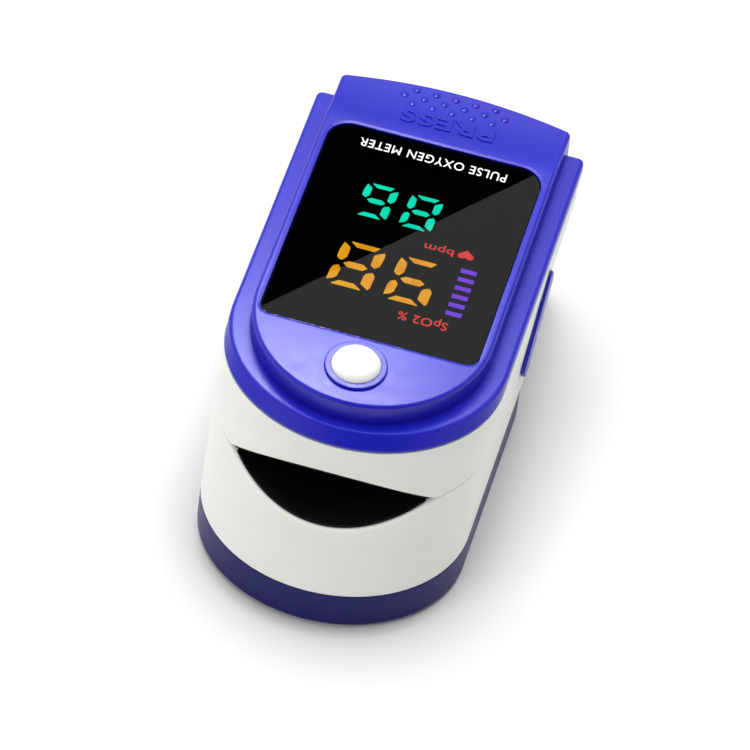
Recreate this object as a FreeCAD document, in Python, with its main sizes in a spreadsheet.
import FreeCAD, Part
import math
import os
import Sketcher
from FreeCAD import Placement, Rotation, Vector

# Fingertip pulse oximeter: two hinged shells that clamp on a finger.
# +Z up, +X right. The finger opening faces -Y (front), the press lip +Y (rear).
# Origin: on the resting plane, centred on the base footprint. Sizes in mm.

os.makedirs("parts", exist_ok=True)
doc = FreeCAD.newDocument("oximeter")
sheet = doc.addObject("Spreadsheet::Sheet", "Dims")
aliases = []
pieces = []


def dim(alias, value, note):
    """Write one driving dimension to the sheet and return its value."""
    aliases.append(alias)
    row = len(aliases)
    sheet.set("A%d" % row, note)
    sheet.set("B%d" % row, repr(value))
    sheet.setAlias("B%d" % row, alias)
    return value


# ============================ DRIVING DIMENSIONS ============================
# heights of the stacked shells
z_top = dim("z_top", 28.45, "top of the raised deck round the window")
z_flange_top = dim("z_flange_top", 25.67, "top of the lower step of the top cover")
z_cover_low = dim("z_cover_low", 23.76, "underside of the top cover")
z_part = dim("z_part", 17.0, "parting plane of the two white shells")
z_base_top = dim("z_base_top", 5.6, "top edge of the coloured base")
z_deck_low = dim("z_deck_low", 12.3, "underside of the cell-bay roof")
z_deck_top = dim("z_deck_top", 13.2, "top of the cell-bay roof")
z_ceil_low = dim("z_ceil_low", 21.2, "underside of the finger-channel ceiling")
z_ceil_top = dim("z_ceil_top", 22.2, "top of the finger-channel ceiling")
# plan sizes
flange_half = dim("flange_half", 17.0, "half width of the top cover")
deck_half = dim("deck_half", 14.52, "half width of the raised deck at its top edge")
deck_half_low = dim("deck_half_low", 14.68, "half width of the raised deck at its foot")
case_wall = dim("case_wall", 1.6, "wall of the white shells")
rear_y = dim("rear_y", 30.05, "rear face of the top cover's step")
lip_y = dim("lip_y", 32.0, "rear corners of the press lip")
lip_bow = dim("lip_bow", 1.45, "outward bow of the press lip")
base_rear = dim("base_rear", 30.7, "rear face of the base")
rear_half = dim("rear_half", 14.6, "half width of the lower shell behind the side covers")
# hinge
pivot_y = dim("pivot_y", 11.2, "clamp hinge axis, y")
pivot_z = dim("pivot_z", 15.6, "clamp hinge axis, z")
dim("pin_rad", 1.2, "hinge pin radius")
dim("pin_len", 33.0, "hinge pin length")
hole_rad = dim("hole_rad", 1.25, "hinge hole radius")
ear_rad = dim("ear_rad", 2.2, "radius of the hinge ears")
knuckle_rad = dim("knuckle_rad", 2.6, "radius of the fixed knuckles")
# window
win_len_x = dim("win_len_x", 26.8, "window width")
win_len_y = dim("win_len_y", 33.2, "window length")
win_cy = dim("win_cy", 6.75, "window centre, y")
win_low = dim("win_low", 27.0, "underside of the window")
win_thk = dim("win_thk", 1.2, "window thickness")
win_gap = dim("win_gap", 0.07, "gap all round the window")
ledge_x = dim("ledge_x", 24.6, "opening under the window, x")
ledge_y = dim("ledge_y", 30.9, "opening under the window, y")
# button
btn_y = dim("btn_y", -14.6, "button centre, y")
btn_rad = dim("btn_rad", 2.95, "button cap radius")
btn_top = dim("btn_top", 29.95, "top of the button cap")
btn_flange_rad = dim("btn_flange_rad", 3.9, "button retaining flange radius")
btn_flange_low = dim("btn_flange_low", 25.7, "underside of the button flange")
collar_rad = dim("collar_rad", 3.82, "outer radius of the collar round the button")
collar_h = dim("collar_h", 0.36, "height of the collar above the deck")
# electronics
pcb_low = dim("pcb_low", 22.6, "underside of the main board")
pcb_thk = dim("pcb_thk", 0.8, "main board thickness")
disp_x = dim("disp_x", 21.6, "display block width")
disp_y = dim("disp_y", 29.4, "display block length")
disp_thk = dim("disp_thk", 3.3, "display block height")
seg_thk = dim("seg_thk", 0.12, "thickness of the lit segments")
# cells
dim("cell_rad", 5.25, "cell radius, 10.5 mm AAA cell")
cell_len = dim("cell_len", 43.7, "cell length without the nub, 44.5 with it")
dim("nub_rad", 1.9, "positive nub radius")
nub_len = dim("nub_len", 0.8, "positive nub height")
cell_x = dim("cell_x", 5.45, "cell axis, x")
cell_z = dim("cell_z", 6.95, "cell axis, z")
plate_front = dim("plate_front", -24.2, "inner face of the front contact plate")
plate_rear = dim("plate_rear", 24.6, "inner face of the rear contact plates")
dim("plate_thk", 0.3, "contact plate thickness")
# finger channel
arch_rad = dim("arch_rad", 23.1, "radius of the channel roof")
arch_z = dim("arch_z", -2.8, "centre height of the channel roof")
trough_rad = dim("trough_rad", 23.8, "radius of the channel floor")
trough_z = dim("trough_z", 38.0, "centre height of the channel floor")
lip_thk = dim("lip_thk", 0.33, "thickness of the pad lips that line the opening")
stop_y = dim("stop_y", 4.0, "inner end of the finger channel")
# battery door
door_x = dim("door_x", 21.8, "battery door width")
door_front = dim("door_front", -25.4, "front edge of the battery door")
door_low = dim("door_low", 0.0, "outer face of the battery door, flush with the base")
door_thk = dim("door_thk", 1.35, "battery door thickness")
doc.recompute()

# Plan of the case by height: z, half width, depth of the front half-ellipse, its centre y
LEVELS = [
    (z_cover_low, 16.85, 14.45, -9.10),
    (z_base_top, 16.44, 14.38, -16.20),
    (0.0, 16.44, 14.20, -16.55),
]
FRONT_WALL = 2.0        # front wall of the shells beside the finger channel
CORNER = 0.8            # rear corners of the shells, outside
INNER_CORNER = 0.4      # rear corners of the shells, inside
UPPER_REAR_Y = 29.9
LOWER_REAR_Y = 30.4
SENSOR_Y = -9.0         # light source and detector
pcb_top = pcb_low + pcb_thk
segment_z = pcb_top + disp_thk + 0.01
# board posts and their screws, then base bosses and theirs: x, y
POSTS = [(-11.4, -11.3), (11.4, -11.3), (-11.6, 26.2), (11.6, 26.2)]
BOSSES = [(-13.3, -13.0), (13.3, -13.0)]


# ============================== SHAPE HELPERS ===============================
def box(x0, y0, z0, x1, y1, z1):
    return Part.makeBox(x1 - x0, y1 - y0, z1 - z0, Vector(x0, y0, z0))


def cylinder_x(radius, x0, x1, y, z):
    return Part.makeCylinder(radius, x1 - x0, Vector(x0, y, z), Vector(1, 0, 0))


def cylinder_y(radius, y0, y1, x, z):
    return Part.makeCylinder(radius, y1 - y0, Vector(x, y0, z), Vector(0, 1, 0))


def cylinder_z(radius, z0, z1, x, y):
    return Part.makeCylinder(radius, z1 - z0, Vector(x, y, z0), Vector(0, 0, 1))


def prism(points, sweep):
    return Part.Face(Part.makePolygon(points + points[:1])).extrude(sweep)


def yz_prism(points, x0, x1):
    return prism([Vector(x0, y, z) for y, z in points], Vector(x1 - x0, 0, 0))


def xy_prism(points, z0, z1):
    return prism([Vector(x, y, z0) for x, y in points], Vector(0, 0, z1 - z0))


def both_sides(inner, outer):
    """The x span from inner to outer on the left, then on the right."""
    return [(-outer, -inner), (inner, outer)]


def arc(start, middle, end):
    return Part.Arc(start, middle, end).toShape()


def loft(wires):
    """Ruled solid through the wires."""
    return Part.makeLoft(wires, True, True)


def outline(z, half, depth, centre_y, y_rear, corner, bow=0.0):
    """Closed wire: half-ellipse front, straight sides, rounded rear corners."""
    ellipse = Part.Ellipse(Vector(0, centre_y, z), half, depth)
    right_front = Vector(half, centre_y, z)
    right_rear = Vector(half, y_rear - corner, z)
    rear_right = Vector(half - corner, y_rear, z)
    rear_left = Vector(-half + corner, y_rear, z)
    left_rear = Vector(-half, y_rear - corner, z)
    left_front = Vector(-half, centre_y, z)
    inset = corner * (1 - math.sqrt(0.5))
    if bow > 0:
        rear = arc(rear_right, Vector(0, y_rear + bow, z), rear_left)
    else:
        rear = Part.makeLine(rear_right, rear_left)
    edges = [
        Part.ArcOfEllipse(ellipse, math.pi, 2 * math.pi).toShape(),
        Part.makeLine(right_front, right_rear),
        arc(right_rear, Vector(half - inset, y_rear - inset, z), rear_right),
        rear,
        arc(rear_left, Vector(-half + inset, y_rear - inset, z), left_rear),
        Part.makeLine(left_rear, left_front),
    ]
    return Part.Wire(Part.__sortEdges__(edges))


def section(z):
    """Half width, front depth and ellipse centre y of the case at height z."""
    high, low = LEVELS[:2] if z >= z_base_top else LEVELS[1:]
    part = (high[0] - z) / (high[0] - low[0])
    return [top + (bottom - top) * part for top, bottom in zip(high[1:], low[1:])]


def case_loft(z0, z1, y_rear, corner, side=0.0, front=None):
    """Slice of the case between two heights, inset at its sides and front."""
    if front is None:
        front = side
    wires = []
    for z in (z0, z1):
        half, depth, centre_y = section(z)
        wires.append(outline(z, half - side, depth - front, centre_y, y_rear, corner))
    return loft(wires)


def flat_at(z):
    """Edge selector: edges that lie wholly at height z."""
    def picks(edge):
        bounds = edge.BoundBox
        return abs(bounds.ZMin - z) < 0.01 and abs(bounds.ZMax - z) < 0.01
    return picks


def fillet(shape, radius, picks):
    return shape.makeFillet(radius, [e for e in shape.Edges if picks(e)])


def fillet_first(shape, radii, picks):
    """Fillet with the first radius that gives a sound solid, else leave the shape as it is."""
    edges = [e for e in shape.Edges if picks(e)]
    for radius in radii:
        # makeFillet raises when a radius does not fit; the next one is smaller
        try:
            rounded = shape.makeFillet(radius, edges)
            same_count = len(rounded.Solids) == len(shape.Solids)
            if rounded.isValid() and same_count and abs(rounded.Volume - shape.Volume) < 60:
                return rounded
        except Exception:
            pass
    return shape


def round_wire(points, radius):
    """Round wire swept along a smooth curve through the points."""
    curve = Part.BSplineCurve()
    curve.interpolate(points)
    tangent = curve.tangent(curve.FirstParameter)[0]
    profile = Part.Wire([Part.Circle(points[0], tangent, radius).toShape()])
    return Part.Wire([curve.toShape()]).makePipeShell([profile], True, True)


def cross_screw(x, y, head, slot, shank):
    """Screw with a cross recess in the underside of its head.

    head, shank: radius, z low, z high; slot: half width, reach, z low, z high.
    """
    half, reach, low, high = slot
    screw = cylinder_z(*head, x, y)
    screw = screw.cut(box(x - half, y - reach, low, x + half, y + reach, high))
    screw = screw.cut(box(x - reach, y - half, low, x + reach, y + half, high))
    return screw.fuse(cylinder_z(*shank, x, y))


# ============================= DOCUMENT HELPERS =============================
def new_object(kind, label):
    item = doc.addObject(kind, label)
    item.Label = label
    return item


def add_piece(label, shape, refine=True):
    """Add a finished shape as a piece, by default with its split faces merged."""
    item = new_object("Part::Feature", label)
    item.Shape = shape.removeSplitter() if refine else shape
    pieces.append(item)


def primitive(kind, label, **formulas):
    """Part primitive with its sizes bound to formulas."""
    item = new_object("Part::" + kind, label)
    for name, formula in formulas.items():
        item.setExpression(name, formula)
    return item


def bind_position(item, **formulas):
    for axis, formula in formulas.items():
        item.setExpression("Placement.Base." + axis, formula)


def boolean_piece(kind, label, base, tool):
    item = new_object("Part::" + kind, label)
    item.Base = base
    item.Tool = tool
    pieces.append(item)


def new_body(label):
    body = new_object("PartDesign::Body", label)
    pieces.append(body)
    return body


def add_step(body, kind, name, sketch):
    """Add a PartDesign step that works on the sketch and make it the tip."""
    step = doc.addObject("PartDesign::" + kind, body.Name + "_" + name)
    body.addObject(step)
    step.Profile = sketch
    body.Tip = step
    return step


def sketch_on(body, role="XY_Plane", name="Sk"):
    sketch = doc.addObject("Sketcher::SketchObject", body.Name + "_" + name)
    body.addObject(sketch)
    plane = [f for f in body.Origin.OriginFeatures if f.Role == role][0]
    sketch.AttachmentSupport = [(plane, "")]
    sketch.MapMode = "FlatFace"
    return sketch


def sketch_line(sketch, start, end):
    sketch.addGeometry(Part.LineSegment(start, end), False)


def sketch_polygon(sketch, points):
    """Closed polygon with its corners joined, in an empty sketch."""
    corners = [Vector(x, y, 0) for x, y in points]
    count = len(corners)
    for i in range(count):
        sketch_line(sketch, corners[i], corners[(i + 1) % count])
    for i in range(count):
        sketch.addConstraint(Sketcher.Constraint("Coincident", i, 2, (i + 1) % count, 1))


def sketch_distance(sketch, kind, line, value, formula):
    """Length of a sketch line along x or y, bound to a formula."""
    index = sketch.addConstraint(Sketcher.Constraint(kind, line, 1, line, 2, value))
    sketch.setExpression("Constraints[%d]" % index, formula)


# ================================ TOP COVER =================================
DECK_ARC_Y = -6.06      # centre of the half-ellipse front of the deck
SCOOP_RAD = 31.0        # shallow scoop across the press lip
SCOOP_DEPTH = 0.75
SCOOP_Y = 31.4
SCOOP_BLEND = 10.0      # convex arc that rolls the deck into the scoop
scoop_z = z_top - SCOOP_DEPTH + SCOOP_RAD
PIMPLE_RAD = 0.74
PIMPLE_SINK = 0.53      # centre of a pimple below the scoop surface
# grip pimples, alternate rows staggered by half a pitch: y, then every x
PIMPLE_ROWS = [
    (32.1, (-5.1, -2.6, -0.1, 2.4, 4.95)),
    (30.9, (-6.35, -3.85, -1.3, 1.25, 3.8, 6.4)),
    (29.7, (-5.05, -2.5, 0.0, 2.5, 5.05)),
]
win_half_x, win_half_y = win_len_x / 2, win_len_y / 2


def window_wire(half_x, half_y, front_r, rear_r, z):
    """Rounded rectangle centred on the window."""
    keep = 1 - math.sqrt(0.5)
    front, rear = win_cy - half_y, win_cy + half_y
    f_in, r_in = front_r * keep, rear_r * keep

    def at(x, y):
        return Vector(x, y, z)

    edges = [
        Part.makeLine(at(-half_x + front_r, front), at(half_x - front_r, front)),
        arc(at(half_x - front_r, front), at(half_x - f_in, front + f_in),
            at(half_x, front + front_r)),
        Part.makeLine(at(half_x, front + front_r), at(half_x, rear - rear_r)),
        arc(at(half_x, rear - rear_r), at(half_x - r_in, rear - r_in),
            at(half_x - rear_r, rear)),
        Part.makeLine(at(half_x - rear_r, rear), at(-half_x + rear_r, rear)),
        arc(at(-half_x + rear_r, rear), at(-half_x + r_in, rear - r_in),
            at(-half_x, rear - rear_r)),
        Part.makeLine(at(-half_x, rear - rear_r), at(-half_x, front + front_r)),
        arc(at(-half_x, front + front_r), at(-half_x + f_in, front + f_in),
            at(-half_x + front_r, front)),
    ]
    return Part.Wire(Part.__sortEdges__(edges))


def window_prism(half_x, half_y, front_r, rear_r, z0, z1):
    wire = window_wire(half_x, half_y, front_r, rear_r, z0)
    return Part.Face(wire).extrude(Vector(0, 0, z1 - z0))


def ledge_opening(z0, z1):
    return window_prism(ledge_x / 2, ledge_y / 2, 0.8, 2.0, z0, z1)


def scoop_surface(y):
    return scoop_z - math.sqrt(SCOOP_RAD ** 2 - (y - SCOOP_Y) ** 2)


def make_scoop():
    """Cutter: the blend arc runs tangent into the deck and into the scoop arc."""
    reach = SCOOP_RAD + SCOOP_BLEND
    blend_z = z_top - SCOOP_BLEND
    blend_y = SCOOP_Y - math.sqrt(reach ** 2 - (scoop_z - blend_z) ** 2)
    y_part, z_part_ = (SCOOP_Y - blend_y) / reach, (scoop_z - blend_z) / reach
    half_angle = math.atan2(y_part, z_part_) / 2
    mid_y, end_y = 31.0, 36.0

    def at(y, z):
        return Vector(-30, y, z)

    start = at(blend_y, z_top)
    blend_mid = at(blend_y + SCOOP_BLEND * math.sin(half_angle),
                   blend_z + SCOOP_BLEND * math.cos(half_angle))
    joint = at(blend_y + SCOOP_BLEND * y_part, blend_z + SCOOP_BLEND * z_part_)
    end = at(end_y, scoop_surface(end_y))
    end_up, start_up = at(end_y, z_top + 4), at(blend_y, z_top + 4)
    wire = Part.Wire([
        arc(start, blend_mid, joint),
        arc(joint, at(mid_y, scoop_surface(mid_y)), end),
        Part.makeLine(end, end_up),
        Part.makeLine(end_up, start_up),
        Part.makeLine(start_up, start),
    ])
    return Part.Face(wire).extrude(Vector(60, 0, 0))


def deck_top_edges(edge):
    """Outer upper edges of the deck, without the creases that run along x."""
    bounds = edge.BoundBox
    crease = abs(bounds.YMax - bounds.YMin) < 0.02 and bounds.YMax < 29
    return bounds.ZMin >= 27.3 and not crease


def make_cover_body():
    """Lower step and raised deck with the press lip, hollow underneath."""
    step = loft([outline(z_cover_low, flange_half, 14.60, -9.10, rear_y, CORNER),
                 outline(z_flange_top, flange_half, 15.77, -6.35, rear_y, CORNER)])
    step = fillet(step, 0.5, flat_at(z_flange_top))
    step = fillet(step, 0.25, flat_at(z_cover_low))
    deck = loft([
        outline(24.5, deck_half_low, 14.62, DECK_ARC_Y, lip_y - 0.25, CORNER, lip_bow),
        outline(z_top, deck_half, 14.42, DECK_ARC_Y, lip_y + 0.1, CORNER, lip_bow),
    ])
    deck = fillet(deck.cut(make_scoop()), 0.45, deck_top_edges)
    hollow = loft([outline(z_cover_low - 1, 13.6, 12.6, DECK_ARC_Y, 28.7, CORNER),
                   outline(26.2, 13.2, 12.4, DECK_ARC_Y, 28.7, CORNER)])
    return step.fuse(deck).cut(hollow)


def cut_window_seat(cover):
    half_x, half_y = win_half_x + win_gap, win_half_y + win_gap
    cover = cover.cut(window_prism(half_x, half_y, 1.5, 3.0, win_low - 0.1, z_top + 2))
    # the rim of the seat falls inwards over a narrow, shallow land
    land = loft([window_wire(half_x - 0.05, half_y - 0.05, 1.45, 2.95, z_top - 0.09),
                 window_wire(half_x + 0.40, half_y + 0.40, 1.9, 3.4, z_top + 0.01)])
    trimmed = cover.cut(land)
    # keep the plain rim if so shallow a cut breaks the solid
    if trimmed.isValid() and len(trimmed.Solids) == 1:
        cover = trimmed
    return cover.cut(ledge_opening(24.0, z_top))


def make_top_cover():
    cover = cut_window_seat(make_cover_body())
    # drafted collar round the button, with a soft outer edge
    collar = Part.makeCone(collar_rad + 0.03, collar_rad - 0.10, collar_h + 0.5,
                           Vector(0, btn_y, z_top - 0.5), Vector(0, 0, 1))
    cover = cover.fuse(fillet(collar, 0.16, flat_at(z_top + collar_h)))
    # button bore, then the pocket for its flange
    cover = cover.cut(cylinder_z(btn_rad + 0.08, 24, z_top + 2, 0, btn_y))
    cover = cover.cut(cylinder_z(btn_flange_rad + 0.15, 25.0, 26.45, 0, btn_y))
    for y, row in PIMPLE_ROWS:
        for x in row:
            centre = Vector(x, y, scoop_surface(y) - PIMPLE_SINK)
            cover = cover.fuse(Part.makeSphere(PIMPLE_RAD, centre))
    cover = cover.removeSplitter()
    # hollow posts for the board screws hang from the ceiling
    for x, y in POSTS:
        cover = cover.fuse(cylinder_z(1.5, 23.45, 26.4, x, y))
    for x, y in POSTS:
        cover = cover.cut(cylinder_z(0.72, 23.4, 26.0, x, y))
    return cover


def make_window():
    window_top = win_low + win_thk
    window = window_prism(win_half_x, win_half_y, 1.45, 2.95, win_low, window_top)
    return fillet(window, 0.12, flat_at(window_top))


def make_gasket():
    gasket = window_prism(win_half_x - 0.2, win_half_y - 0.2, 1.25, 2.75,
                          win_low - 0.09, win_low - 0.01)
    return gasket.cut(ledge_opening(win_low - 1, win_low + 1))


add_piece("top_cover", make_top_cover())
add_piece("display_window", make_window())
add_piece("window_gasket", make_gasket())


# ================================== BUTTON ==================================
def build_button():
    """Cap with a retaining flange, revolved about its axis."""
    body = new_body("power_button")
    sketch = sketch_on(body, "XZ_Plane")
    flange_thk = 0.6
    height = btn_top - btn_flange_low
    axis_low, axis_top = Vector(0, 0, 0), Vector(0, height, 0)
    shoulder = Vector(btn_rad, height - 1.05, 0)
    crown_edge = Vector(btn_rad * 0.42, height - 0.035, 0)
    profile = [axis_low, Vector(btn_flange_rad, 0, 0), Vector(btn_flange_rad, flange_thk, 0),
               Vector(btn_rad, flange_thk, 0), shoulder]
    for start, end in zip(profile[:-1], profile[1:]):
        sketch_line(sketch, start, end)
    crown_mid = Vector(btn_rad * 0.80, height - 0.34, 0)
    sketch.addGeometry(Part.Arc(shoulder, crown_mid, crown_edge), False)
    sketch_line(sketch, crown_edge, axis_top)
    sketch_line(sketch, axis_top, axis_low)
    for i in range(7):
        sketch.addConstraint(Sketcher.Constraint("Coincident", i, 2, (i + 1) % 7, 1))
    sketch.addConstraint(Sketcher.Constraint("Coincident", 0, 1, -1, 1))
    sketch.addConstraint(Sketcher.Constraint("Horizontal", 0))
    sketch.addConstraint(Sketcher.Constraint("Vertical", 1))
    sketch.addConstraint(Sketcher.Constraint("Vertical", 6))
    sketch_distance(sketch, "DistanceX", 0, btn_flange_rad, "Dims.btn_flange_rad")
    turn = add_step(body, "Revolution", "rev", sketch)
    turn.ReferenceAxis = (sketch, ["V_Axis"])
    turn.Angle = 360
    bind_position(body, y="Dims.btn_y", z="Dims.btn_flange_low")


build_button()

# ============================= BOARD AND DISPLAY ============================
BOARD_OUTLINE = [(-12.9, 27.2), (-12.9, -12.4), (-8.4, -17.2),
                 (8.4, -17.2), (12.9, -12.4), (12.9, 27.2)]


def build_main_board():
    body = new_body("main_pcb")
    sketch = sketch_on(body)
    sketch_polygon(sketch, BOARD_OUTLINE)
    add_step(body, "Pad", "Pad", sketch).setExpression("Length", "Dims.pcb_thk")
    holes = sketch_on(body, name="Holes")
    for x, y in POSTS:
        holes.addGeometry(Part.Circle(Vector(x, y, 0), Vector(0, 0, 1), 0.95), False)
    pocket = add_step(body, "Pocket", "Pocket", holes)
    pocket.Type = 1     # through all
    pocket.Reversed = True
    bind_position(body, z="Dims.pcb_low")


def build_display():
    body = new_body("display_module")
    sketch = sketch_on(body)
    x, y = disp_x / 2, disp_y / 2
    sketch_polygon(sketch, [(-x, -y), (x, -y), (x, y), (-x, y)])
    for direction, lines in (("Horizontal", (0, 2)), ("Vertical", (1, 3))):
        for line in lines:
            sketch.addConstraint(Sketcher.Constraint(direction, line))
    sketch.addConstraint(Sketcher.Constraint("Symmetric", 0, 1, 1, 2, -1, 1))
    sketch_distance(sketch, "DistanceX", 0, disp_x, "Dims.disp_x")
    sketch_distance(sketch, "DistanceY", 1, disp_y, "Dims.disp_y")
    add_step(body, "Pad", "Pad", sketch).setExpression("Length", "Dims.disp_thk")
    bind_position(body, y="Dims.win_cy", z="Dims.pcb_low + Dims.pcb_thk")


build_main_board()
build_display()

# Slanted seven-segment glyph in reader axes: u to the reader's right (-X),
# v away from the top of the glyph's u axis along -Y. Corners of each segment: u, v
GLYPH = {
    "c": [(6.83, -5.56), (6.03, -5.00), (5.93, -4.70), (5.96, -3.42),
          (6.38, -2.80), (6.71, -2.77), (7.13, -3.17), (7.08, -4.42)],
    "d": [(6.04, -5.93), (2.57, -5.93), (3.04, -5.27), (5.25, -5.27)],
    "e": [(2.30, -5.10), (1.72, -5.35), (1.65, -4.70), (1.80, -3.20),
          (2.38, -2.65), (2.93, -3.03), (2.90, -4.60)],
    "g": [(6.08, -2.30), (5.45, -2.72), (3.76, -2.72), (3.16, -2.30),
          (3.64, -1.82), (5.49, -1.82)],
    "b": [(7.38, 0.75), (6.66, 0.40), (6.30, -0.05), (6.18, -1.27),
          (6.57, -1.78), (7.10, -1.50), (7.33, -0.85)],
    "f": [(2.26, 0.97), (2.04, 0.60), (1.96, -1.30), (2.35, -1.81),
          (3.05, -1.46), (3.24, -1.00), (3.30, 0.21)],
    "a": [(6.66, 1.30), (5.85, 0.60), (4.00, 0.60), (3.06, 1.30)],
}
DIGITS = {"8": "abcdefg", "9": "abcdfg", "6": "acdefg"}
GLYPH_U, GLYPH_V = 4.35, -2.30      # centre of the glyph
PULSE_SCALE = 0.755                 # the pulse digits are smaller


def digit(character, centre_u, centre_v, scale=1.0):
    """Segments of one digit, centred at u, v."""
    segments = []
    for name in DIGITS[character]:
        points = [(-(centre_u + (u - GLYPH_U) * scale), -(centre_v + (v - GLYPH_V) * scale))
                  for u, v in GLYPH[name]]
        segments.append(xy_prism(points, segment_z, segment_z + seg_thk))
    return segments


def make_pulse_bars():
    """Column of six short bars."""
    bars = []
    for i in range(6):
        y = 5.93 - 1.427 * i
        bars.append(box(7.50, y - 0.29, segment_z, 9.45, y + 0.29, segment_z + seg_thk))
    return Part.makeCompound(bars)


spo2 = digit("8", 4.35, -2.30) + digit("9", -2.75, -2.20)
pulse = digit("6", 4.88, -13.28, PULSE_SCALE) + digit("8", -0.72, -13.28, PULSE_SCALE)
add_piece("spo2_digits", Part.makeCompound(spo2), refine=False)
add_piece("pulse_digits", Part.makeCompound(pulse), refine=False)
add_piece("pulse_bars", make_pulse_bars(), refine=False)


# =========================== PARTS ON THE BOARD =============================
def build_switch():
    """Tactile switch with a bore for its plunger."""
    block = primitive("Box", "switch_block", Length="5.0", Width="5.0", Height="1.5")
    bind_position(block, x="-2.5", y="Dims.btn_y - 2.5", z="Dims.pcb_low + Dims.pcb_thk")
    bore = primitive("Cylinder", "switch_bore", Radius="1.05", Height="1.0")
    bind_position(bore, y="Dims.btn_y", z="Dims.pcb_low + Dims.pcb_thk + 0.6")
    boolean_piece("Cut", "tact_switch", block, bore)
    plunger = primitive("Cylinder", "switch_plunger", Radius="0.95", Height="1.3")
    bind_position(plunger, y="Dims.btn_y", z="Dims.btn_flange_low - 1.32")
    pieces.append(plunger)


def make_controller():
    """Chip under the board with a row of leads in front and one behind."""
    solids = [box(4.2, 19.6, pcb_low - 1.0, 10.2, 25.6, pcb_low - 0.12)]
    for y0, y1 in ((18.9, 19.58), (25.62, 26.3)):
        for i in range(8):
            x = 4.55 + i * 0.73
            solids.append(box(x, y0, pcb_low - 0.32, x + 0.3, y1, under_board))
    return Part.makeCompound(solids)


under_board = pcb_low - 0.02        # parts hang this close below the board
# front left corners of the capacitors: x, y
CAPACITORS = [(-11.6, 14.0), (-11.6, 16.0), (-9.2, 14.0), (-9.2, 16.0), (6.2, 15.0), (8.6, 15.0)]

build_switch()
add_piece("microcontroller", make_controller())
add_piece("chip_capacitors", Part.makeCompound(
    [box(x, y, pcb_low - 0.36, x + 1.6, y + 0.8, under_board) for x, y in CAPACITORS]))
add_piece("boost_inductor", cylinder_z(1.6, pcb_low - 0.38, under_board, -9.4, 20.2).fuse(
    box(-11.2, 18.4, pcb_low - 0.36, -7.6, 22.0, pcb_low - 0.1)))
add_piece("cable_connector", box(-3.0, 21.6, pcb_low - 0.35, 3.0, 24.2, under_board))

# light source under the board, with its stepped lens in the pad
LENS_RAD, LENS_TIP_RAD = 2.3, 1.85
add_piece("emitter_led", box(-1.7, SENSOR_Y - 1.4, 21.55, 1.7, SENSOR_Y + 1.4, under_board))
add_piece("emitter_lens", cylinder_z(LENS_RAD, 20.85, 21.45, 0, SENSOR_Y).fuse(
    cylinder_z(LENS_TIP_RAD, 20.45, 20.9, 0, SENSOR_Y)))

# board screws, driven up into the posts
add_piece("board_screws", Part.makeCompound([
    cross_screw(x, y,
                head=(1.35, pcb_low - 0.78, under_board),
                slot=(0.16, 0.85, pcb_low - 0.8, pcb_low - 0.45),
                shank=(0.65, pcb_low - 0.1, 25.6))
    for x, y in POSTS]), refine=False)

# =============================== WHITE SHELLS ===============================
arch_mouth_rad = arch_rad + lip_thk + 0.03
trough_mouth_rad = trough_rad + lip_thk + 0.03


def mouth_bore(radius, axis_z, y_rear):
    """Cylinder along y that enters the case from the front."""
    return cylinder_y(radius, -45, y_rear, 0, axis_z)


def mouth_edges(radius, axis_z):
    """Edge selector: outer edge where the round opening meets the front wall."""
    def on_bore(point):
        return abs(math.hypot(point.x, point.z - axis_z) - radius) < 0.02

    def picks(edge):
        bounds = edge.BoundBox
        if bounds.YMax > -20.0 or bounds.XMax - bounds.XMin < 4.0:
            return False
        if not all(on_bore(vertex.Point) for vertex in edge.Vertexes):
            return False
        middle = edge.valueAt((edge.FirstParameter + edge.LastParameter) / 2)
        return on_bore(middle) and middle.y < -26.0
    return picks


def make_upper_case():
    case = case_loft(z_part, z_cover_low - 0.02, UPPER_REAR_Y, CORNER)
    # room above the ceiling and the channel below it
    inner_rear = UPPER_REAR_Y - case_wall
    room = case_loft(z_ceil_top, z_cover_low + 0.5, inner_rear, INNER_CORNER, case_wall)
    channel = case_loft(z_part - 1, z_ceil_low, inner_rear, INNER_CORNER, case_wall, FRONT_WALL)
    case = case.cut(room).cut(channel)
    # the lower edge climbs behind the hinge so the tail can swing down
    case = case.cut(yz_prism([(12.6, z_part - 1), (12.6, z_part),
                              (31.0, z_part + 1.93), (31.0, z_part - 1)], -20, 20))
    # round finger opening
    case = case.cut(mouth_bore(arch_mouth_rad, arch_z, -8))
    case = fillet_first(case, (0.4, 0.3, 0.2), mouth_edges(arch_mouth_rad, arch_z))
    # ears reach down to the pin
    for x0, x1 in both_sides(12.95, 14.45):
        block = box(x0, pivot_y - 2.2, pivot_z, x1, pivot_y + 2.2, z_ceil_low + 0.1)
        case = case.fuse(cylinder_x(ear_rad, x0, x1, pivot_y, pivot_z).fuse(block))
    case = case.cut(cylinder_x(hole_rad, -14.6, 14.6, pivot_y, pivot_z))
    # clearance for the knuckles of the lower shell
    for x0, x1 in both_sides(14.9, 18):
        case = case.cut(cylinder_x(knuckle_rad + 0.15, x0, x1, pivot_y, pivot_z))
    # ceiling openings: emitter, cable, controller, screw heads
    hole_low, hole_top = z_ceil_low - 0.5, z_ceil_top + 0.1
    case = case.cut(cylinder_z(2.35, hole_low, hole_top, 0, SENSOR_Y))
    case = case.cut(box(-3.4, 16.0, hole_low, 3.4, 24.8, hole_top))
    case = case.cut(box(3.9, 18.6, hole_low, 10.6, 26.6, hole_top))
    for x, y in POSTS:
        case = case.cut(cylinder_z(1.5, pcb_low - 0.9, z_ceil_top + 0.5, x, y))
    return case


def lower_blank():
    return case_loft(z_base_top, z_part - 0.08, LOWER_REAR_Y, CORNER)


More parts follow.
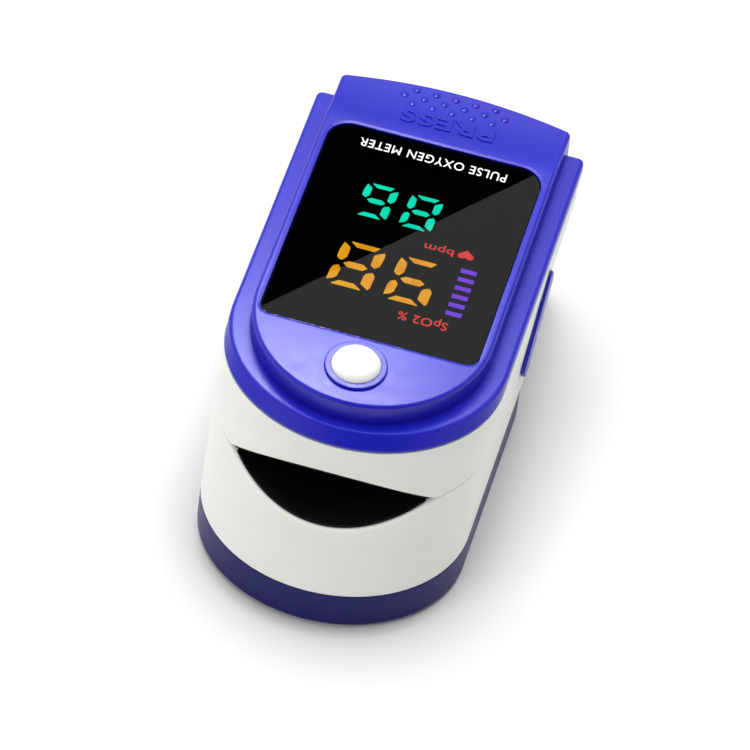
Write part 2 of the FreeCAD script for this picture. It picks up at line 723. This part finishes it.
# side recess: everything behind a line that runs up to the hinge (y, z)
SIDE_CUT = [(10.9, -1.0), (10.9, 4.2), (8.9, 8.2), (19.0, 16.4),
            (20.5, 18.0), (33.0, 18.0), (33.0, -1.0)]
# web that closes the step between the wide front and the narrow tail (y, z)
SIDE_WEB = [(9.3, z_base_top), (9.3, 7.0), (7.4, 8.4), (8.6, 9.9),
            (13.9, z_deck_top + 0.6), (14.8, z_deck_top + 0.6), (15.6, z_deck_top + 0.6),
            (9.2, 8.35), (10.8, z_base_top + 0.1), (10.8, z_base_top)]


def hollow_lower_case(case):
    """Cut the finger channel above the deck and the cell bay below it."""
    top = z_part + 2
    case = case.cut(case_loft(z_deck_top, z_part + 1, 8.0, INNER_CORNER, case_wall, FRONT_WALL))
    case = case.cut(box(-13.0, 7.0, z_deck_top, 13.0, 23.0, top))
    case = case.cut(box(-15.1, 7.0, z_deck_top, 15.1, 14.2, top))
    case = case.cut(yz_prism([(14.0, z_deck_top + 0.55), (14.0, z_part + 1),
                              (19.5, z_part + 1), (17.9, z_part - 0.4)], -15.1, 15.1))
    case = case.cut(case_loft(z_base_top - 1, z_deck_low, 8.0, INNER_CORNER, case_wall))
    return case.cut(box(-13.0, 7.0, z_base_top - 1, 13.0, LOWER_REAR_Y - case_wall, z_deck_low))


def make_lower_case():
    # the tail falls away behind the hinge
    case = lower_blank().cut(yz_prism([(11.2, z_part + 1), (11.2, 16.75),
                                       (31.5, 12.14), (31.5, z_part + 1)], -20, 20))
    case = hollow_lower_case(case)
    for x0, x1 in both_sides(rear_half, 20):
        case = case.cut(yz_prism(SIDE_CUT, x0, x1))
    for x0, x1 in both_sides(13.0, 18.0):
        case = case.fuse(yz_prism(SIDE_WEB, x0, x1).common(lower_blank()))
    # round finger opening
    case = case.cut(mouth_bore(trough_mouth_rad, trough_z, -8))
    case = fillet_first(case, (0.95, 0.8, 0.65, 0.45, 0.3),
                        mouth_edges(trough_mouth_rad, trough_z))
    # knuckles round the pin ends
    for x0, x1 in both_sides(15.15, 16.68):
        case = case.fuse(cylinder_x(knuckle_rad, x0, x1, pivot_y, pivot_z))
    case = case.cut(cylinder_x(hole_rad, -18, 18, pivot_y, pivot_z))
    # ribs that back the contact plates at both ends of the bay
    rib_top = z_deck_low + 0.2
    front_rib = box(-10.8, plate_front - 1.25, z_base_top, 10.8, plate_front - 0.35, rib_top)
    front_rib = front_rib.common(case_loft(2.0, z_part - 0.5, LOWER_REAR_Y, CORNER, 0.4))
    rear_rib = box(-13.4, plate_rear + 0.35, z_base_top, 13.4, plate_rear + 1.25, rib_top)
    case = case.fuse(front_rib).fuse(rear_rib)
    # screw bosses beside the cells in front
    for x, y in BOSSES:
        case = case.fuse(cylinder_z(1.6, 3.2, z_deck_low + 0.1, x, y))
    for x, y in BOSSES:
        case = case.cut(cylinder_z(0.85, 3.0, 10.5, x, y))
    # sensor opening and cable slot in the deck
    hole_low, hole_top = z_deck_low - 0.5, z_deck_top + 0.2
    case = case.cut(box(-3.7, SENSOR_Y - 2.7, hole_low, 3.7, SENSOR_Y + 2.7, hole_top))
    return case.cut(box(-2.2, 15.6, hole_low, 2.2, 18.4, hole_top))


add_piece("upper_case", make_upper_case())
add_piece("lower_case", make_lower_case())


# ================================ FINGER PADS ===============================
def make_pad(radius, axis_z, body_z, lip_z, clip_z, window_z, seat_z):
    """Pad with a round channel and a thin lip lining the opening.

    The z pairs are the heights of the pad body, the lip, the box that clips
    the lip, the light hole and the wider seat of the lens.
    """
    gap = 0.15
    pad = case_loft(*body_z, stop_y + 1.6, INNER_CORNER, case_wall + gap, FRONT_WALL + gap)
    lip = mouth_bore(radius + lip_thk, axis_z, -10).cut(mouth_bore(radius + 0.02, axis_z, -8))
    lip = lip.common(case_loft(*lip_z, UPPER_REAR_Y, CORNER, 0.18))
    pad = pad.fuse(lip.common(box(-20, -40, clip_z[0], 20, -10, clip_z[1])))
    pad = pad.cut(mouth_bore(radius + 0.02, axis_z, stop_y))
    pad = pad.cut(cylinder_z(1.95, *window_z, 0, SENSOR_Y))
    return pad.cut(cylinder_z(2.4, *seat_z, 0, SENSOR_Y))


add_piece("upper_finger_pad", make_pad(
    arch_rad, arch_z,
    body_z=(z_part + 0.12, z_ceil_low - 0.05),
    lip_z=(z_part + 0.12, z_ceil_low - 0.05),
    clip_z=(z_part - 1, z_ceil_low),
    window_z=(19, z_ceil_low + 1),
    seat_z=(20.8, z_ceil_low + 1)))
add_piece("lower_finger_pad", make_pad(
    trough_rad, trough_z,
    body_z=(z_deck_top + 0.05, z_part - 0.2),
    lip_z=(z_deck_top - 1.0, z_part - 0.2),
    clip_z=(z_deck_top - 2, z_part),
    window_z=(12, z_part + 1),
    seat_z=(12, 13.75)))

# detector board, photodiode and its stepped lens
add_piece("detector_board", box(-3.5, SENSOR_Y - 2.5, 12.32, 3.5, SENSOR_Y + 2.5, 12.82))
add_piece("photodiode", box(-1.6, SENSOR_Y - 1.3, 12.84, 1.6, SENSOR_Y + 1.3, 13.22))
add_piece("detector_lens", cylinder_z(LENS_RAD, 13.26, 13.7, 0, SENSOR_Y).fuse(
    cylinder_z(LENS_TIP_RAD, 13.6, 14.1, 0, SENSOR_Y)))


# ================================== HINGE ===================================
def build_hinge_pin():
    pin = primitive("Cylinder", "hinge_pin", Radius="Dims.pin_rad", Height="Dims.pin_len")
    pin.Placement = Placement(Vector(0, 0, 0), Rotation(Vector(0, 1, 0), 90))
    bind_position(pin, x="-Dims.pin_len / 2", y="Dims.pivot_y", z="Dims.pivot_z")
    pieces.append(pin)


def make_torsion_spring(side):
    """Coil round the pin with two legs that spread the tails apart."""
    coil_rad, turns, steps, leg_steps = 1.68, 4, 104, 7
    x_inner, x_outer = 8.9, 12.1
    leg_y = pivot_y + 10.6
    low_tip_z, high_tip_z = 13.62, 20.78
    coil_low, coil_top = pivot_z - coil_rad, pivot_z + coil_rad
    points = []
    for i in range(leg_steps):
        part = i / leg_steps
        points.append(Vector(side * x_inner, leg_y + (pivot_y - leg_y) * part,
                             low_tip_z + (coil_low - low_tip_z) * part ** 1.3))
    for i in range(steps + 1):
        part = i / steps
        angle = -math.pi / 2 - part * (2 * math.pi * turns - math.pi)
        points.append(Vector(side * (x_inner + (x_outer - x_inner) * part),
                             pivot_y + coil_rad * math.cos(angle),
                             pivot_z + coil_rad * math.sin(angle)))
    for i in range(1, leg_steps + 1):
        part = i / leg_steps
        points.append(Vector(side * x_outer, pivot_y + (leg_y - pivot_y) * part,
                             coil_top + (high_tip_z - coil_top) * part ** 1.1))
    return round_wire(points, 0.3)


def make_side_cover():
    """Tilted rounded bar that hides the right end of the pin."""
    length, width = 13.3, 3.3
    outer_thk, inner_thk = 0.36, 0.6    # either side of the plane x = 16.84
    bar = Part.makeBox(outer_thk + inner_thk, length, width,
                       Vector(-inner_thk, -length / 2, -width / 2))
    bar = fillet(bar, 1.0, lambda e: abs(e.BoundBox.XMax - e.BoundBox.XMin) > 0.3)
    bar = fillet(bar, 0.14, lambda e: e.BoundBox.XMin > outer_thk - 0.01)
    bar.rotate(Vector(0, 0, 0), Vector(1, 0, 0), 32.5)
    bar.translate(Vector(16.84, 11.05, 15.42))
    # the inner face follows the drafted case wall just short of touching it
    wall = [Vector(section(z)[0] + 0.06, -2, z) for z in (8.0, 14.0, 20.0, z_cover_low)]
    envelope = [Vector(10, -2, 8.0)] + wall + [Vector(10, -2, z_cover_low)]
    bar = bar.cut(prism(envelope, Vector(0, 30, 0)))
    bar = bar.cut(cylinder_x(knuckle_rad + 0.08, 15.0, 16.74, pivot_y, pivot_z))
    # two discs on the inner side: on the hinge axis, and low in front of it
    bar = bar.fuse(cylinder_x(1.45, 16.72, 16.9, pivot_y, pivot_z))
    return bar.fuse(cylinder_x(1.0, section(12.8)[0] + 0.02, 16.9, 7.0, 12.8))


build_hinge_pin()
add_piece("torsion_spring_right", make_torsion_spring(1))
add_piece("torsion_spring_left", make_torsion_spring(-1))
add_piece("hinge_cover_right", make_side_cover())
add_piece("hinge_cover_left", make_side_cover().mirror(Vector(0, 0, 0), Vector(1, 0, 0)))

# ============================== BASE AND DOOR ===============================
door_half = door_x / 2


def cut_door_groove(base):
    return base.cut(box(-door_half - 0.95, door_front - 0.12, 0.72,
                        door_half + 0.95, base_rear + 1, 1.6))


def make_base():
    rim_z = z_base_top - 0.05
    base = case_loft(0.0, rim_z, base_rear, 1.2)
    base = fillet(base, 0.8, flat_at(0.0))
    base = fillet(base, 0.22, flat_at(rim_z))
    base = base.cut(case_loft(1.5, z_base_top + 1, 7.2, INNER_CORNER, 1.4))
    base = base.cut(box(-13.2, 7.0, 1.5, 13.2, base_rear - 1.5, z_base_top + 1))
    # narrow tail
    for x0, x1 in both_sides(rear_half, 20):
        base = base.cut(yz_prism([(8.7, -1.0), (8.7, 7.0), (33.0, 7.0), (33.0, -1.0)], x0, x1))
    # door opening with a groove on each side, open at the rear
    base = base.cut(box(-door_half - 0.12, door_front - 0.12, -1,
                        door_half + 0.12, base_rear + 1, 1.6))
    base = cut_door_groove(base)
    for x, y in BOSSES:
        base = base.fuse(cylinder_z(1.75, 1.0, 3.1, x, y))
    # the bosses reach into the groove, so it is cut again
    base = cut_door_groove(base)
    # screw holes, counterbored from below
    for x, y in BOSSES:
        base = base.cut(cylinder_z(0.9, -1, 3.2, x, y))
        base = base.cut(cylinder_z(1.4, -1, 1.45, x, y))
    return base


def make_door():
    """Plate with side tongues, a grooved thumb patch and an arrow."""
    door_top, door_rear = door_low + door_thk, base_rear - 0.05
    door = box(-door_half, door_front, door_low, door_half, door_rear, door_top)
    door = door.fuse(box(-door_half - 0.8, door_front, 0.82,
                         door_half + 0.8, door_rear, door_top))
    for i in range(6):
        y = 16.0 + i * 1.5
        half = 5.0 - abs(i - 2.5) * 0.25
        door = door.cut(box(-half, y, -1, half, y + 0.7, door_low + 0.4))
    arrow = [(-3.2, 8.6), (0.0, 11.8), (3.2, 8.6), (3.2, 10.1), (0.0, 13.3), (-3.2, 10.1)]
    return door.cut(xy_prism(arrow, -1, door_low + 0.3))


add_piece("base_cover", make_base())
add_piece("battery_door", make_door())
# case screws, driven up through the base
add_piece("case_screws", Part.makeCompound([
    cross_screw(x, y, head=(1.3, 0.5, 1.4), slot=(0.17, 0.9, 0.4, 0.95), shank=(0.75, 1.0, 9.6))
    for x, y in BOSSES]), refine=False)


# ============================ CELLS AND CONTACTS ============================
def build_cell(label, x, can_y, nub_y):
    """Cell along y; the nub cylinder overlaps the can by 0.2."""
    can = primitive("Cylinder", label + "_can", Radius="Dims.cell_rad", Height="Dims.cell_len")
    nub = primitive("Cylinder", label + "_nub", Radius="Dims.nub_rad",
                    Height="Dims.nub_len + 0.2")
    for item, y in ((can, can_y), (nub, nub_y)):
        item.Placement = Placement(Vector(0, 0, 0), Rotation(Vector(1, 0, 0), -90))
        bind_position(item, x=x, y=y, z="Dims.cell_z")
    boolean_piece("Fuse", label, can, nub)


def build_contact_plate(label, length, x, y):
    plate = primitive("Box", label, Length=length, Width="Dims.plate_thk", Height="7.4")
    bind_position(plate, x=x, y=y, z="3.1")
    pieces.append(plate)


def make_contact_spring(x, y_wide, y_narrow):
    """Conical spring: wide end on the plate, narrow end towards the can."""
    wide, narrow, turns, steps = 3.3, 1.5, 3.5, 96
    points = []
    for i in range(steps + 1):
        part = i / steps
        radius = wide + (narrow - wide) * part
        angle = 2 * math.pi * turns * part
        points.append(Vector(x + radius * math.cos(angle),
                             y_wide + (y_narrow - y_wide) * part,
                             cell_z + radius * math.sin(angle)))
    return round_wire(points, 0.25)


# the left cell has its nub at the rear, the right cell at the front
left_cell_y = "Dims.plate_rear - Dims.cell_len - Dims.nub_len - 0.03"
right_nub_y = "Dims.plate_front + 0.03"
build_cell("battery_left", "-Dims.cell_x", left_cell_y, left_cell_y + " + Dims.cell_len - 0.2")
build_cell("battery_right", "Dims.cell_x", right_nub_y + " + Dims.nub_len", right_nub_y)

rear_plate_y = "Dims.plate_rear + 0.02"
build_contact_plate("contact_bridge_front", "17.2", "-8.6",
                    "Dims.plate_front - Dims.plate_thk - 0.02")
build_contact_plate("contact_plate_rear_left", "7.4", "-9.15", rear_plate_y)
build_contact_plate("contact_plate_rear_right", "7.4", "1.75", rear_plate_y)

left_cell_front = plate_rear - cell_len - nub_len - 0.03
right_cell_rear = plate_front + 0.03 + nub_len + cell_len
add_piece("contact_spring_front",
          make_contact_spring(-cell_x, plate_front + 0.28, left_cell_front - 0.30))
add_piece("contact_spring_rear",
          make_contact_spring(cell_x, plate_rear - 0.28, right_cell_rear + 0.30))

# ================================ FLEX CABLE ================================
# centre line (y, z): back under the deck, up behind the pin, through the
# ceiling slot to the connector under the main board
CABLE_PATH = [
    (-5.4, 12.12), (16.2, 12.12), (16.6, 12.18), (16.95, 12.4), (17.1, 12.75), (17.15, 13.2),
    (17.3, 14.2), (17.75, 15.4), (18.4, 16.6), (18.9, 17.8), (19.1, 19.0), (19.15, 20.2),
    (19.25, 21.2), (19.5, 21.75), (19.9, 22.1), (20.5, 22.22), (21.5, 22.24),
]


def make_strip(path, width, thickness):
    """Strip along a YZ polyline, thickened to both sides of it."""
    left, right = [], []
    for i, (y, z) in enumerate(path):
        before, after = path[max(i - 1, 0)], path[min(i + 1, len(path) - 1)]
        dy, dz = after[0] - before[0], after[1] - before[1]
        run = math.hypot(dy, dz)
        normal_y, normal_z = -dz / run * thickness / 2, dy / run * thickness / 2
        left.append((y + normal_y, z + normal_z))
        right.append((y - normal_y, z - normal_z))
    return yz_prism(left + right[::-1], -width / 2, width / 2)


add_piece("flex_cable", make_strip(CABLE_PATH, 3.4, 0.14))

# ============================= CHECK AND EXPORT =============================
doc.recompute()
faults = [item.Name for item in doc.Objects if "Invalid" in item.State or "Error" in item.State]
faults += [item.Label for item in pieces if item.Shape.isNull() or not item.Shape.isValid()]
if faults:
    raise SystemExit("bad shapes: " + ", ".join(faults))
for item in pieces:
    item.Shape.exportStep("parts/%s.step" % item.Label)
